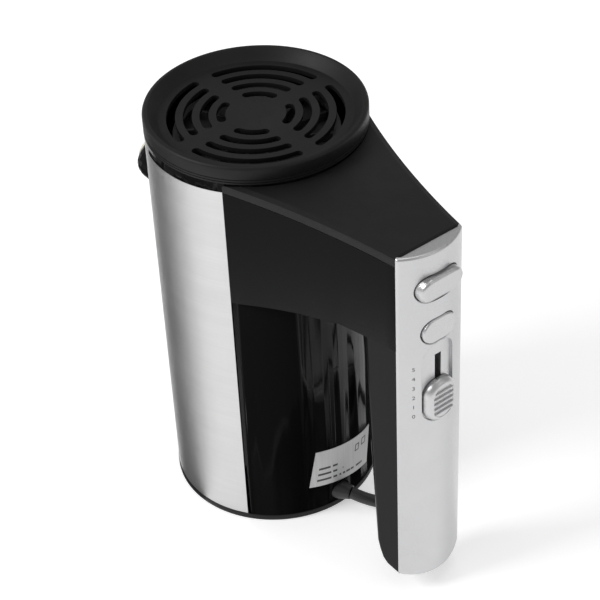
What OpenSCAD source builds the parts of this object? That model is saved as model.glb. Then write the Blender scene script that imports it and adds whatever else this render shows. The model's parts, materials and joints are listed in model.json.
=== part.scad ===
// Hand mixer with a round upright motor housing, a wide arm and a vertical grip.
// Millimetres. +Z is up. The origin is the centre of the heel face that the mixer stands on,
// +X points from the motor housing to the grip, and the beater sockets face -X.

/* [Body] */
// Outer radius of the round motor housing
body_r = 48; // [47:0.25:49]
// Height of the joint between the housing and its lid
body_h = 191.5; // [190:0.5:193]
// Wall thickness of the plastic housings
wall = 2.4; // [2:0.1:2.8]
// Thickness of the stainless steel wrap
wrap_t = 0.6; // [0.4:0.1:0.8]
// Angle from the grip side to each edge of the steel wrap
wrap_edge = 55.2; // [50:0.1:60]
// Height of the lower and the upper edge of the steel wrap
wrap_z = [3, 187]; // [0:0.5:200]

/* [Lid] */
// Height of the lid above the housing
lid_h = 8.4; // [8:0.1:9]
// Radius of the sunken grille disc
grille_r = 41.5; // [41:0.5:42]
// Depth of the grille disc below the lid's rim
grille_sunk = 4.9; // [4:0.1:5]
// Middle radii of the curved vent slots
slot_radii = [14.9, 22, 29.1, 36.2]; // [10:0.1:38]
// Width of each vent slot
slot_w = 3.8; // [3:0.1:4.4]
// Width of the spokes between the slots
spoke_w = 7.6; // [6:0.1:9]

/* [Arm] */
// Half width of the arm where it meets the housing and where it meets the grip
arm_half = [39.6, 17.3]; // [10:0.1:45]
// Radius of the hollow curve of the arm's sides
arm_curve_r = 400; // [350:10:600]
// Height of the arm's top above the housing end and the grip end
arm_top = [191.4, 188]; // [180:0.1:195]
// Thickness of the arm's top cover
cover_t = 4.4; // [4:0.1:5]

/* [Grip] */
// Front of the flat sides of the grip, where its crowned face begins
grip_x = 109.8; // [109:0.1:110]
// How far the crowned face stands out in the middle
crown = 6.2; // [6:0.1:7]
// Lower and upper end of the silver face
face_z = [9.3, 188]; // [5:0.1:190]
// Back of the grip where it meets the arm
grip_back = 79.6; // [79:0.1:80]

/* [Controls] */
// Width and height of the eject button's opening
eject_size = [23, 13]; // [10:0.1:26]
// Height of the middle of the eject button
eject_z = 170.6; // [168:0.1:172]
// Travel of the eject button
eject_travel = 4; // [3:0.5:4]
// Width and height of the turbo button's opening
turbo_size = [18, 12.5]; // [10:0.1:20]
// Height of the middle of the turbo button
turbo_z = 148.2; // [147:0.1:149]
// Travel of the turbo button
turbo_travel = 1.5; // [1:0.1:1.5]
// Width and height of the slider's recess
recess_size = [16.6, 42]; // [10:0.1:44]
// Depth of the slider's recess
recess_depth = 1.2; // [1:0.1:2]
// Height of the middle of the slider's recess
recess_z = 120.5; // [119:0.5:122]
// Width and height of the slider knob
knob_size = [15.8, 22]; // [10:0.1:24]
// Travel of the slider from off to the highest speed
slide_travel = 19; // [15:0.5:19]

/* [Drive] */
// Radius of the motor shaft
shaft_r = 3; // [3:0.1:3]
// Distance of each beater spindle from the middle
spindle_y = 20; // [20:0.5:20]
// Height of the beater spindles
spindle_z = 157; // [156:0.5:158]
// Radius and depth of each beater socket
socket = [3.1, 34]; // [3:0.1:36]
// Number of teeth on each worm wheel
teeth = 28; // [24:1:32]

/* [Cord] */
// Diameter of the mains cord
cord_d = 5.8; // [5.8:0.1:5.8]
// Height of the cord's exit
cord_z = 8; // [7:0.5:9]

/* [Hidden] */
$fn = 96;

black = "#1c1c1e";
silver = "#c3c4c6";
steel = "#a9abad";
copper = "#b06a35";
brass = "#c2a35a";
nylon = "#e2dfd2";
laminate = "#7d7f82";
dark = "#2b2b2d";

eps = 0.05;
gap = 0.1;                                   // clearance between fixed neighbours
heel_h = wrap_z[0];
lid_r = body_r + 0.1;
lid_edge = 1.6;                              // rounding of the lid's rim
dish_z = lid_h - grille_sunk;                // top of the grille disc above the housing
shell_in = body_r - wrap_t - wall;           // inside radius of the housing
arm_x0 = sqrt(body_r * body_r - arm_half[0] * arm_half[0]);
crown_r = (pow(arm_half[1], 2) + crown * crown) / (2 * crown);
crown_x = grip_x + crown - crown_r;          // axis of the crowned face
face_t = 2.4;                                // wall of the crowned face
face_back = grip_x - 1;                      // plane where the face meets the black grip
floor_r = crown_r - recess_depth;            // radius of the slider recess's floor
knob_z = recess_z - (recess_size[1] - knob_size[1]) / 2 + 0.5;   // knob at off
grip_top = 141;                              // height where the grip meets the arm
grip_foot = 11.2;
// The rounded foot of the grip: height above it, front of the rounded back, its depth, draw of each side
foot_levels = [
    [0, 108.3, 0.7, 1.5], [0.4, 105.5, 2, 0.6], [1.7, 101.7, 3.2, 0],
    [3.2, 99.2, 4.4, 0], [7.2, 97.3, 5.4, 0], [11.6, 96.1, 6, 0]
];
foot_arc = 50;                               // radius of the face's lower edge
stack_z = [60, 100];                         // lower and upper end of the iron stacks
comm_z = [42, 54];
core_r = 17;
bearing_r = 8;
running = 0.03;                              // radial clearance of a running fit
spindle_r = 6;
spindle_x = [-55.5, 18];                     // nose and tail of a spindle
wheel_w = 12;
worm_tip = 5.2;
wheel_r = spindle_y - worm_tip - 0.2;        // tip radius that just clears the worm
frame_x = [-30, 16];                         // outer faces of the gear frame's two walls
frame_z = [118, 178];
plate = 4;

// The cord's route: out of the guard, down to the floor, round behind the housing to the coil
cord_exit_turn = 25;
guard_len = 6;
guard_r = 4.6;
route = [
    [53, 2.6, 7.8], [58, 5.4, 6.6], [62.6, 9.2, 5.2], [66, 14, 4], [68, 20, 3.2], [68.5, 27, 2.9],
    [67, 34, 2.9], [63, 42, 2.9], [56, 49, 2.9], [46, 54.5, 2.9], [34, 58.5, 2.9], [20, 62, 2.9],
    [5, 66, 2.9], [-11, 71.5, 2.9], [-28, 78.8, 2.9], [-45, 86.4, 2.9], [-62.3, 92.1, 2.9]
];
// The short stretch from the coil to the plug
tail = [[-33.5, 56, 9.6], [-32.4, 64.8, 12.4], [-34.7, 73.5, 15.4], [-41.1, 80.8, 17.7], [-51.5, 83.1, 18.25]];
plug_at = [-51.5, 83.1];
plug_turn = 175;
plug_size = [36, 26, 13.5];
coil_at = [-74, 56];
coil_in = 23.1;
coil_out = 40.9;
coil_h = 11.4;

// ---------- shared shapes ----------

// A bar along +X whose section is a rectangle with round ends
module slot_bar(size, len) {
    w = size[0];
    h = size[1];
    r = min(w, h) / 2;
    dy = w / 2 - r;
    dz = h / 2 - r;
    for (s = [-1, 1]) translate([0, s * dy, s * dz]) rotate([0, 90, 0]) cylinder(r = r, h = len);
    translate([0, w > h ? -dy : -r, w > h ? -r : -dz]) cube([len, w > h ? 2 * dy : 2 * r, w > h ? 2 * r : 2 * dz]);
}

// A bar with round ends placed on the grip's face, from x to x + len at height z
module face_bar(size, z, x, len) translate([x, 0, z]) slot_bar(size, len);

// A ring of inside radius a, outside radius b and height h, standing on z
module ring(a, b, z, h) translate([0, 0, z]) difference() {
    cylinder(r = b, h = h);
    translate([0, 0, -1]) cylinder(r = a, h = h + 2);
}

// Part of a ring, from -half to +half degrees about +X
module arc_ring(a, b, z, h, half) translate([0, 0, z]) rotate([0, 0, -half])
    rotate_extrude(angle = 2 * half) translate([a, 0]) square([b - a, h]);

// A cylinder along +X that starts at x
module rod_x(r, x, len, y = 0, z = 0) translate([x, y, z]) rotate([0, 90, 0]) cylinder(r = r, h = len);

// A cylinder along +X for each of the two spindles
module spindle_rods(r, x, len) for (s = [-1, 1]) rod_x(r, x, len, s * spindle_y, spindle_z);

// A tube of radius r swept along points, with flat ends; side is the number of sides
function unit(v) = v / norm(v);
function heading(p, i) = unit(p[min(i + 1, len(p) - 1)] - p[max(i - 1, 0)]);
function across(t) = unit(abs(t[2]) < 0.9 ? cross(t, [0, 0, 1]) : cross(t, [1, 0, 0]));
module tube(p, r, side = 8) {
    n = len(p);
    points = [for (i = [0 : n - 1]) let (t = heading(p, i), a = across(t), b = cross(t, a))
        for (k = [0 : side - 1]) p[i] + r * (cos(360 * k / side) * a + sin(360 * k / side) * b)];
    walls = [for (i = [0 : n - 2], k = [0 : side - 1])
        [i * side + k, i * side + (k + 1) % side, (i + 1) * side + (k + 1) % side, (i + 1) * side + k]];
    first = [for (k = [side - 1 : -1 : 0]) k];
    last = [for (k = [0 : side - 1]) (n - 1) * side + k];
    polyhedron(points, concat([first], walls, [last]));
}

// A smooth curve through points p, with m steps between two of them
function at(p, i) = p[max(0, min(len(p) - 1, i))];
function blend4(a, b, c, d, t) =
    0.5 * (2 * b + (c - a) * t + (2 * a - 5 * b + 4 * c - d) * t * t + (3 * b - a - 3 * c + d) * t * t * t);
function smooth(p, m) = [for (i = [0 : len(p) - 2], k = [0 : m - 1])
    blend4(at(p, i - 1), p[i], p[i + 1], at(p, i + 2), k / m), p[len(p) - 1]];

// A coil spring along +X
module spring_x(r, wire, len, turns, step = 15) {
    n = floor(turns * 360 / step);
    tube([for (i = [0 : n]) [wire + (len - 2 * wire) * i / n, r * cos(i * step), r * sin(i * step)]], wire, 6);
}

// ---------- housings ----------

module heel_cap() color(black) difference() {
    union() {
        cylinder(r = body_r + 0.2, h = heel_h - gap);
        ring(shell_in - 3, shell_in - gap, 0, heel_h + 5);
    }
    translate([0, 0, 2.4]) cylinder(r = shell_in - 2.2, h = heel_h + 5);
    for (a = [45 : 90 : 315]) rotate([0, 0, a]) translate([38, 0, -1]) cylinder(r = 1.6, h = 8);
    for (a = [45 : 90 : 315]) rotate([0, 0, a]) translate([38, 0, -1]) cylinder(r = 3.6, h = 2.6);
    for (a = [0 : 30 : 330]) rotate([0, 0, a]) translate([14, -1.2, -1]) cube([14, 2.4, 8]);
    cord_path(guard_r + 0.2);
}

// Four screws that hold the heel cap
module heel_screws() color(steel) for (a = [45 : 90 : 315]) rotate([0, 0, a]) translate([38, 0, 0])
    difference() {
        union() {
            translate([0, 0, 0.2]) cylinder(r = 3.2, h = 1.4);
            translate([0, 0, 1]) cylinder(r = 1.4, h = 15);
        }
        translate([-2.2, -0.4, 0]) cube([4.4, 0.8, 0.9]);
        translate([-0.4, -2.2, 0]) cube([0.8, 4.4, 0.9]);
    }

// The line on which the cord leaves, as a cylinder of radius r
module cord_path(r) translate([body_r - 0.5, 0, cord_z]) rotate([0, 90, cord_exit_turn])
    translate([0, 0, -16]) cylinder(r = r, h = 30);

// The four posts that take the heel screws, each tied to the wall by a rib
module heel_posts() for (a = [45 : 90 : 315]) rotate([0, 0, a]) {
    translate([38, 0, heel_h + 5]) cylinder(r = 4, h = 14);
    translate([38, -1.5, heel_h + 8]) cube([shell_in - 37, 3, 11]);
}

module body_shell() color(black) difference() {
    union() {
        rotate([0, 0, 100]) ring(shell_in, body_r - wrap_t - gap, heel_h, body_h - heel_h);
        rotate([0, 0, 190]) ring(shell_in + 1, body_r, wrap_z[1] + gap, body_h - wrap_z[1] - gap);
        arc_ring(shell_in + 1, body_r, heel_h, wrap_z[1] + 1 - heel_h, wrap_edge - 0.7);
        heel_posts();
    }
    for (a = [45 : 90 : 315]) rotate([0, 0, a]) translate([38, 0, 0]) cylinder(r = 1.45, h = 20);
    spindle_rods(8.5, -body_r - 5, 20);
    translate([arm_x0, -16, 146]) cube([40, 32, 36]);
    cord_path(guard_r + 0.2);
}

module steel_wrap() color(steel) difference() {
    translate([0, 0, wrap_z[0]]) rotate([0, 0, wrap_edge]) rotate_extrude(angle = 360 - 2 * wrap_edge)
        translate([body_r - wrap_t, 0]) square([wrap_t, wrap_z[1] - wrap_z[0]]);
    spindle_rods(8.5, -body_r - 5, 20);
}

boss_half = [32, 13];
boss_out = 10.5;
boss_in = 8;
boss_power = 0.65;
module beater_boss() color(black) difference() {
    hull() for (a = [0 : 9 : 81]) {
        grow = pow(cos(a), boss_power);
        translate([-(body_r - boss_in) - (boss_in + boss_out) * pow(sin(a), boss_power) - eps, 0, spindle_z])
            rotate([0, 90, 0]) linear_extrude(eps) scale([boss_half[1] * grow, boss_half[0] * grow]) circle(r = 1, $fn = 48);
    }
    translate([0, 0, 100]) cylinder(r = body_r + 0.02, h = 100);
    spindle_rods(7, -body_r - boss_out - 5, 30);
}

// One curved vent slot with round ends
module vent_slot(r) {
    end = asin((spoke_w + slot_w) / 2 / r);
    rotate([0, 0, end]) rotate_extrude(angle = 90 - 2 * end) translate([r - slot_w / 2, 0]) square([slot_w, 12]);
    for (a = [end, 90 - end]) rotate([0, 0, a]) translate([r, 0, 0]) cylinder(r = slot_w / 2, h = 12);
}

module lid_grille() color(dark) translate([0, 0, body_h]) difference() {
    rotate_extrude() difference() {
        union() {
            square([lid_r, lid_h - lid_edge]);
            square([lid_r - lid_edge, lid_h]);
            translate([lid_r - lid_edge, lid_h - lid_edge]) circle(r = lid_edge);
        }
        polygon([[0, dish_z], [grille_r, dish_z], [grille_r + 4.4, lid_h + eps], [0, lid_h + eps]]);
        translate([0, -1]) square([shell_in - 1, dish_z - 1.2]);
        for (y = [0.8, 2]) translate([lid_r - 0.35, y]) square([1, 0.4]);
    }
    for (q = [0 : 90 : 270], r = slot_radii) rotate([0, 0, q]) translate([0, 0, -1]) vent_slot(r);
}

// The arm's outline from above, hollowed by a large arc on each side; inset narrows it
module arm_plan(inset = 0, x1 = face_back) {
    dx = grip_x - arm_x0;
    dy = arm_half[0] - arm_half[1];
    chord = sqrt(dx * dx + dy * dy);
    reach = sqrt(arm_curve_r * arm_curve_r - chord * chord / 4);
    mid = [(grip_x + arm_x0) / 2, (arm_half[0] + arm_half[1]) / 2];
    difference() {
        translate([arm_x0 - 8, -arm_half[0]]) square([x1 - arm_x0 + 8, 2 * arm_half[0]]);
        for (s = [-1, 1]) translate([mid[0] + reach * dy / chord, s * (mid[1] + reach * dx / chord)])
            circle(r = arm_curve_r + inset, $fn = 256);
    }
}

// The arm seen from the side, between the underside and the top, lowered by drop
module arm_side(drop = 0, lift = 0) rotate([90, 0, 0]) translate([0, 0, -60]) linear_extrude(120)
    polygon([
        [arm_x0 - 8, 129 + lift], [arm_x0 + 3, 129.8 + lift], [46, 134 + lift], [61, 137.4 + lift],
        [75, 139.6 + lift], [grip_back, grip_top + lift], [grip_x, grip_top + lift],
        [grip_x, arm_top[1] - drop], [arm_x0 - 8, arm_top[0] - drop]
    ]);

module arm_shell() color(black) difference() {
    intersection() {
        translate([0, 0, 120]) linear_extrude(80) arm_plan();
        arm_side(cover_t + gap);
    }
    intersection() {
        translate([0, 0, 120]) linear_extrude(80) difference() {
            arm_plan(wall, grip_x + 1);
            translate([82, -20]) square([3, 40]);
        }
        arm_side(0, wall);
    }
    translate([90, -13, grip_top - 5]) cube([20, 26, 10]);
    rod_x(4.6, 80, 8, 0, eject_z);
    translate([80, 8, 174]) cube([8, 6, 8]);
    cylinder(r = body_r + gap, h = 200);
}

module arm_top_cover() color(black) difference() {
    intersection() {
        translate([0, 0, 120]) linear_extrude(80) arm_plan();
        difference() {
            arm_side(0);
            arm_side(cover_t);
        }
    }
    intersection() {
        translate([0, 0, 120]) linear_extrude(80) arm_plan(wall, face_back - wall);
        arm_side(wall);
    }
    translate([0, 0, 100]) cylinder(r = body_r + gap, h = 200);
}

// One level of the grip's section: flat sides in front, an elliptic back behind
module grip_level(z, back, side_x, half, front = face_back, h = eps) translate([0, 0, z]) linear_extrude(h) {
    translate([side_x, -half]) square([front - side_x, 2 * half]);
    translate([side_x, 0]) scale([side_x - back, half]) circle(r = 1, $fn = 48);
}

module grip_solid(inset = 0, lift = 0, front = face_back) {
    half = arm_half[1] - inset;
    hull() {
        grip_level(grip_top - eps + lift, grip_back + inset, 90.9, half, front);
        for (f = foot_levels)
            grip_level(grip_foot + f[0] + lift, f[1] - max(f[2] - inset, 0.3), f[1], half - f[3], front);
    }
}

module grip_shell() color(black) difference() {
    grip_solid();
    grip_solid(wall, wall, grip_x);
}

module handle_face() color(silver) difference() {
    intersection() {
        translate([crown_x, 0, face_z[0]]) cylinder(r = crown_r, h = face_z[1] - face_z[0]);
        translate([face_back, -arm_half[1], 0]) cube([20, 2 * arm_half[1], 200]);
    }
    difference() {
        translate([100, -20, face_z[0] - 1]) cube([20, 40, 6]);
        rod_x(foot_arc, 95, 30, 0, face_z[0] + foot_arc);
    }
    translate([crown_x, 0, face_z[1] - 0.8]) cylinder(r = crown_r - 1.5, h = 2);
    difference() {
        translate([crown_x, 0, face_z[0] + 2]) cylinder(r = crown_r - face_t, h = face_z[1] - face_z[0] - 4);
        intersection() {
            face_bar(recess_size + [3, 3], recess_z, 100, 20);
            translate([crown_x, 0, 0]) ring(floor_r - 1.4, crown_r, 90, 60);
        }
    }
    intersection() {
        face_bar(recess_size, recess_z, 100, 20);
        translate([crown_x, 0, 0]) ring(floor_r, crown_r + 2, 90, 60);
    }
    translate([100, -1.65, knob_z - 4.5]) cube([20, 3.3, slide_travel + 9]);
    face_bar(eject_size, eject_z, 100, 30);
    face_bar(turbo_size, turbo_z, 100, 30);
}

// A small blank rating sticker, set slightly askew on the bare front strip
module rating_label() color(silver) intersection() {
    ring(body_r + 0.01, body_r + 0.26, 5, 45);
    rotate([0, 0, 4.3]) translate([30, 0, 24.7]) rotate([-10, 0, 0]) translate([0, -18, -10.5]) cube([30, 36, 21]);
}

// ---------- controls ----------

button_in = 100 + eject_travel;               // inner end of the eject button
button_tip = grip_x + crown + 2.7;
button_tilt = 10;                            // lean of its front
module eject_button() color(silver) {
    difference() {
        hull() {
            face_bar(eject_size - [0.6, 0.6], eject_z, button_in, button_tip - 2 - button_in);
            face_bar(eject_size - [4, 4], eject_z, button_in, button_tip - button_in);
        }
        translate([button_tip, -20, eject_z + eject_size[1] / 2 - 1.5]) rotate([0, button_tilt, 0])
            translate([0, 0, -20]) cube([10, 40, 25]);
    }
    face_bar(eject_size + [2.6, 2.6], eject_z, button_in, 2);
}

module ejector_yoke() color(nylon) {
    translate([26, -3, eject_z - 2.6]) cube([button_in - 26, 6, 5.2]);
    translate([23.5, -25, spindle_z - 4]) cube([3, 50, 9]);
    translate([23.5, -6, spindle_z - 4]) cube([3, 12, eject_z - spindle_z + 6.6]);
    spindle_rods(2.9, 0, 24);
}

module ejector_spring() color(steel) translate([85.2, 0, eject_z]) spring_x(6, 0.45, button_in - 85.4, 7, 20);

switch_x = 98.2;                             // front of the turbo switch
module turbo_button() color(silver) {
    face_bar(turbo_size - [0.6, 0.6], turbo_z, 104, grip_x + crown + 0.2 - 104);
    face_bar(turbo_size + [2, 2], turbo_z, 104, 2);
    rod_x(1.5, switch_x + turbo_travel + 0.5, 104 - switch_x - turbo_travel, 0, turbo_z);
}

module turbo_spring() color(steel) translate([switch_x + 0.1, 0, turbo_z]) spring_x(2.6, 0.3, 5.6, 4, 20);

module turbo_switch() color(dark) difference() {
    translate([switch_x - 12, -6, turbo_z - 4.6]) cube([12, 12, 9.6]);
    for (z = [-3, 3]) translate([90, -7, turbo_z + z]) rotate([-90, 0, 0]) cylinder(r = 1.1, h = 14);
}

module speed_knob() color(silver) {
    difference() {
        union() {
            face_bar(knob_size, knob_z, 104, 13.2);
            face_bar(knob_size - [3.4, 4.4], knob_z, 110, 8.6);
        }
        translate([crown_x, 0, 80]) cylinder(r = floor_r + 0.3, h = 80);
    }
    for (i = [-2 : 2]) translate([118.3, -5, knob_z + 2.4 * i - 0.6]) cube([0.9, 10, 1.2]);
    translate([107.8, -1.4, knob_z - 4]) cube([8, 2.8, 8]);
}

module speed_carriage() color(nylon) {
    translate([101.4, -6, knob_z - 6]) cube([6.4, 12, 12]);
    for (y = [-4, 0, 4]) translate([100.2, y - 0.8, knob_z - 4]) cube([1.4, 1.6, 8]);
}

module speed_board() color("#1f5a35") {
    translate([98.3, -11, 88]) cube([1.6, 22, 50]);
    for (z = [100 : 7 : 128], y = [-4, 4]) translate([99.7, y - 1, z]) cube([0.4, 2, 3]);
}

module suppressor_capacitor() color("#c9b32c") translate([90.4, -7, 92]) cube([7.8, 14, 17]);

module triac_heatsink() color(steel) difference() {
    translate([91, -8, 114]) cube([7.2, 16, 18]);
    for (y = [-6 : 4 : 6]) translate([90, y - 0.8, 112]) cube([5, 1.6, 22]);
}

// ---------- motor ----------

module bar_plate(w, z, h) intersection() {
    translate([0, 0, z]) cylinder(r = shell_in - gap, h = h);
    translate([-w / 2, -60, z]) cube([w, 120, h]);
}

module rear_bracket() color(laminate) difference() {
    union() {
        bar_plate(18, 30, plate);
        translate([0, 0, 26]) cylinder(r = 11.5, h = 10);
    }
    translate([0, 0, 29]) cylinder(r = bearing_r, h = 10);
    translate([0, 0, 20]) cylinder(r = shaft_r + 1, h = 20);
    for (s = [-1, 1]) translate([0, s * 31, 20]) cylinder(r = 1.7, h = 20);
}

module rear_bearing() color(steel) ring(shaft_r + running, bearing_r, 29, 6);
module front_bearing() color(steel) ring(shaft_r + running, bearing_r, 116, 6);
module top_bush() color(brass) ring(shaft_r + running, 5.5, frame_z[1] - plate, plate + 1);

module brush_holders() color(brass) for (s = [-1, 1]) scale([1, s, 1]) difference() {
    translate([-4.2, 12, 34]) cube([8.4, 14, 18.6]);
    translate([-3.2, 0, 44.8]) cube([6.4, 25, 6.4]);
}

module carbon_brushes() color("#3a3a3c") for (s = [-1, 1]) scale([1, s, 1])
    translate([-3.1, 9.2, 44.9]) cube([6.2, 10, 6.2]);

module brush_springs() color(steel) for (s = [-1, 1]) rotate([0, 0, s * 90])
    translate([19.3, 0, 48]) spring_x(2, 0.3, 5.6, 4, 24);

module stator_core() color(laminate) translate([0, 0, stack_z[0]]) difference() {
    intersection() {
        cylinder(r = 34, h = stack_z[1] - stack_z[0]);
        translate([-34, -30.5 - 3, 0]) cube([68, 67, 60]);
    }
    translate([0, 0, -1]) cylinder(r = core_r + 0.6, h = 60);
    for (a = [0, 180]) rotate([0, 0, a]) difference() {
        arc_ring(19.6, 28, -1, 60, 66);
        translate([10, -9, -2]) cube([30, 18, 70]);
    }
    for (s = [-1, 1]) translate([0, s * 31, -1]) cylinder(r = 1.7, h = 60);
}

module field_coils() color(copper) for (a = [0, 180]) rotate([0, 0, a]) difference() {
    arc_ring(20, 27.6, stack_z[0] - 7, stack_z[1] - stack_z[0] + 14, 63);
    translate([10, -9.3, stack_z[0] - 0.3]) cube([30, 18.6, stack_z[1] - stack_z[0] + 0.6]);
}

// Two long screws that clamp the bracket, the iron stack and the gear frame together
module motor_screws() color(steel) for (s = [-1, 1]) translate([0, s * 31, 27]) {
    cylinder(r = 1.6, h = 94);
    cylinder(r = 3.2, h = 2.9);
}

module motor_shaft() color(steel) translate([0, 0, 27]) cylinder(r = shaft_r, h = 160);

module commutator() color(copper) difference() {
    ring(shaft_r, 9, comm_z[0], comm_z[1] - comm_z[0]);
    for (a = [0 : 30 : 330]) rotate([0, 0, a]) translate([7.8, -0.3, comm_z[0] - 1]) cube([3, 0.6, 20]);
}

module armature_core() color(laminate) difference() {
    ring(shaft_r, core_r, stack_z[0], stack_z[1] - stack_z[0]);
    for (a = [0 : 30 : 330]) rotate([0, 0, a]) {
        translate([9, -1.9, stack_z[0] - 1]) cube([6.4, 3.8, 60]);
        translate([14, -0.8, stack_z[0] - 1]) cube([6, 1.6, 60]);
    }
}

module armature_windings() color(copper) {
    for (a = [0 : 30 : 330]) rotate([0, 0, a]) translate([9.1, -1.8, stack_z[0] - 1]) cube([6.2, 3.6, stack_z[1] - stack_z[0] + 2]);
    for (z = [comm_z[1], stack_z[1] + 0.1]) ring(shaft_r + 1, 15.6, z, stack_z[0] - comm_z[1] - 0.1);
}

// ---------- gears ----------

module worm() color(steel) translate([0, 0, spindle_z - 14])
    linear_extrude(28, twist = -360 * 4, slices = 48, $fn = 16) difference() {
        union() {
            circle(r = 4);
            translate([worm_tip - 3, 0]) circle(r = 3);
        }
        circle(r = shaft_r + 0.16);
    }

module gear_frame() color(laminate) difference() {
    intersection() {
        union() {
            translate([frame_x[0], -50, frame_z[0]]) cube([frame_x[1] - frame_x[0], 100, plate]);
            translate([frame_x[0], -18, frame_z[1] - plate]) cube([frame_x[1] - frame_x[0], 36, plate]);
            translate([frame_x[0], -50, frame_z[0]]) cube([plate, 100, frame_z[1] - frame_z[0]]);
            translate([frame_x[1] - plate, -50, frame_z[0]]) cube([plate, 100, frame_z[1] - frame_z[0]]);
            translate([0, 0, frame_z[0] - 3]) cylinder(r = 11.5, h = 8);
        }
        cylinder(r = shell_in - gap, h = 200);
    }
    translate([0, 0, frame_z[0] - 10]) cylinder(r = shaft_r + 1, h = 20);
    translate([0, 0, frame_z[0] - 2]) cylinder(r = bearing_r, h = 6);
    translate([0, 0, frame_z[1] - 10]) cylinder(r = 5.5, h = 20);
    spindle_rods(bearing_r, frame_x[0] - 5, 60);
    for (s = [-1, 1]) translate([0, s * 31, 100]) cylinder(r = 1.7, h = 30);
}

module bush_pair(x) color(brass) difference() {
    union() {
        spindle_rods(bearing_r, x, plate + 1);
        spindle_rods(9.5, x + plate, 1);
    }
    spindle_rods(spindle_r + running, x - 5, 20);
}

module front_spindle_bushes() bush_pair(frame_x[0]);
module rear_spindle_bushes() bush_pair(frame_x[1] - plate);

// A hollow beater spindle with its worm wheel, at side s
module spindle_gear(s) color(nylon) translate([0, s * spindle_y, spindle_z]) rotate([0, 90, 0]) difference() {
    union() {
        translate([0, 0, spindle_x[0]]) cylinder(r = spindle_r, h = spindle_x[1] - spindle_x[0]);
        translate([0, 0, -wheel_w / 2]) difference() {
            cylinder(r = wheel_r, h = wheel_w);
            for (i = [0 : teeth - 1]) rotate([0, 0, 360 * (i + 0.5) / teeth])
                translate([wheel_r - 1.6, -0.75, -1]) cube([4, 1.5, wheel_w + 2]);
            for (z = [-1, wheel_w - 2.5]) translate([0, 0, z]) difference() {
                cylinder(r = wheel_r - 4, h = 3.5);
                translate([0, 0, -1]) cylinder(r = spindle_r + 1.5, h = 6);
            }
        }
    }
    translate([0, 0, spindle_x[0] - 1]) cylinder(r = socket[0], h = socket[1] + 1);
    translate([0, 0, spindle_x[0] + socket[1] - eps]) cylinder(r = 3.4, h = 60);
}

module left_spindle_gear() spindle_gear(1);
module right_spindle_gear() spindle_gear(-1);

fan_z = 180;
module cooling_fan() color(dark) {
    difference() {
        union() {
            translate([0, 0, fan_z]) cylinder(r = 36, h = 1.4);
            translate([0, 0, fan_z]) cylinder(r = 6, h = 7);
        }
        translate([0, 0, fan_z - 1]) cylinder(r = shaft_r, h = 20);
    }
    ring(33, 36, fan_z + 5.6, 1.4);
    for (a = [0 : 30 : 330]) rotate([0, 0, a]) translate([12, 0, fan_z + 1.3]) rotate([0, 0, 25])
        translate([0, -0.6, 0]) cube([23.4, 1.2, 4.4]);
}

// ---------- cord and wiring ----------

lead_route = [
    [33, -6.8, 8], [27, -9.6, 8], [20, -12.8, 8.2], [15, -12, 12], [16, -5, 17], [23, 3, 21.5],
    [32, 10, 28], [37.5, 13, 38], [39, 14, 50], [39, 14, 110], [39, 14, 166], [40, 13.6, 174], [46, 12.5, 179],
    [60, 11.5, 179.5], [84, 11, 179.4], [91, 11, 177.5], [94.4, 11, 171], [95, 11, 160], [95, 11, 146], [95.6, 10, 139.5]
];
module inner_lead() color(black) tube(smooth(lead_route, 3), 2, 8);

// Places things on the cord's line, at distance u inside its exit
module on_exit(u) translate([body_r - 0.5, 0, cord_z]) rotate([0, 0, cord_exit_turn]) translate([-u, 0, 0]) children();

// A bar that grips the lead just inside the exit
clamp_in = 25;
module cord_clamp() color(black) on_exit(clamp_in) difference() {
    translate([-4, -8, 2.45 - cord_z]) cube([8, 16, 11.5]);
    translate([-5, 0, 0]) rotate([0, 90, 0]) cylinder(r = 2.3, h = 10);
    for (s = [-1, 1]) translate([0, s * 5, 2 - cord_z]) cylinder(r = 1.3, h = 20);
}

module clamp_screws() color(steel) on_exit(clamp_in) for (s = [-1, 1]) translate([0, s * 5, -cord_z]) {
    translate([0, 0, 4]) cylinder(r = 1.2, h = 10.2);
    translate([0, 0, 13.96]) cylinder(r = 2.4, h = 1.6);
}

module cord_guard() color(black) translate([body_r - 0.5, 0, cord_z]) rotate([0, 90, cord_exit_turn])
    rotate_extrude() polygon([[0, -16], [4.2, -16], [guard_r, -5], [guard_r, 0.5], [3.3, guard_len], [0, guard_len]]);

module mains_cord() color(black) tube(smooth(route, 3), cord_d / 2, 8);

module at_coil() translate([coil_at[0], coil_at[1], 0]) children();

module cord_coil() color(black) at_coil() ring(coil_in, coil_out, 0, coil_h);

// A flat strap round the coil's section, away from the plug
tie_turn = 200;
module cord_tie() color(dark) at_coil() rotate([0, 0, tie_turn]) translate([coil_in - 1.2, -3, 0]) difference() {
    cube([coil_out - coil_in + 2.2, 6, coil_h + 1.2]);
    translate([0.8, -1, -1]) cube([coil_out - coil_in + 0.6, 8, coil_h + 1.1]);
}

// A flat two-pin plug that lies on the coil
module at_plug() translate([plug_at[0], plug_at[1], coil_h + gap + plug_size[2] / 2]) rotate([0, 0, plug_turn]) children();
module plug_face(x, w, h) translate([x, 0, 0]) rotate([0, 90, 0]) linear_extrude(1)
    hull() for (s = [-1, 1]) translate([0, s * (w - h) / 2]) circle(d = h, $fn = 32);
module mains_plug() color(black) at_plug() hull() {
    plug_face(0, 11, 9);
    plug_face(plug_size[0] - 15, plug_size[1], plug_size[2]);
    plug_face(plug_size[0] - 1, plug_size[1], plug_size[2]);
}

module plug_pins() color(steel) at_plug() for (s = [-1, 1]) rod_x(2, plug_size[0], 19, s * 9.3);

module plug_lead() color(black) tube(smooth(tail, 3), cord_d / 2, 8);

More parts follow.
